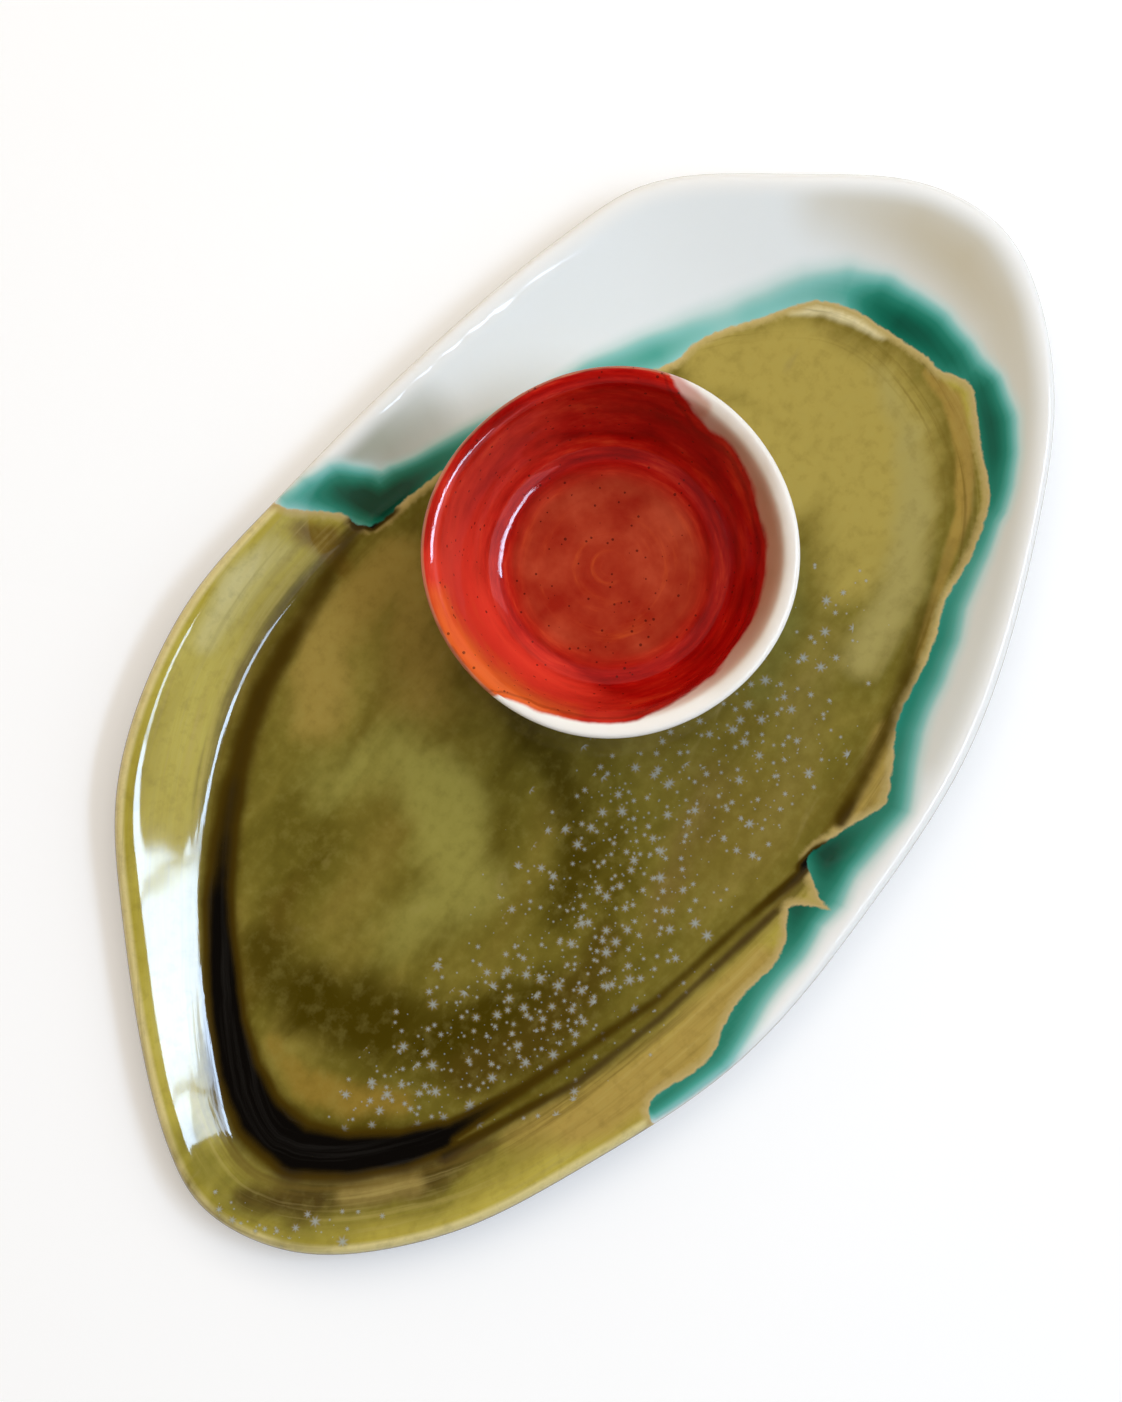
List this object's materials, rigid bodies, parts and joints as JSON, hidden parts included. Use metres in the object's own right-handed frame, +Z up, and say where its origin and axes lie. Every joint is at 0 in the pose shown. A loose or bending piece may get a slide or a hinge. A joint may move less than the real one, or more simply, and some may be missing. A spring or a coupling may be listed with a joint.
{
  "type": "chip and dip platter",
  "caption": "Long off-centre glazed ceramic serving platter with a flared rim and a grooved well, and a loose round dip bowl that stands in the well and lifts out.",
  "frame": {"origin": "on the table, under the middle of the platter's box", "axes": "+X along the platter towards its wide white end, +Z up out of the well"},
  "size_m": [0.3796, 0.2187, 0.0552],
  "materials": {
    "platter_glaze": "glossy olive glaze that runs through a teal band into white",
    "bowl_glaze": "glossy red glaze inside, white glaze outside"
  },
  "bodies": {
    "platter": {"platter": "platter_glaze"},
    "dip_bowl": {"dip_bowl": "bowl_glaze"}
  },
  "joints": [
    {"name": "bowl_lift", "type": "slide", "parent": "platter", "child": "dip_bowl", "axis": [0, 0, 1], "range_m": [0, 0.08]}
  ]
}
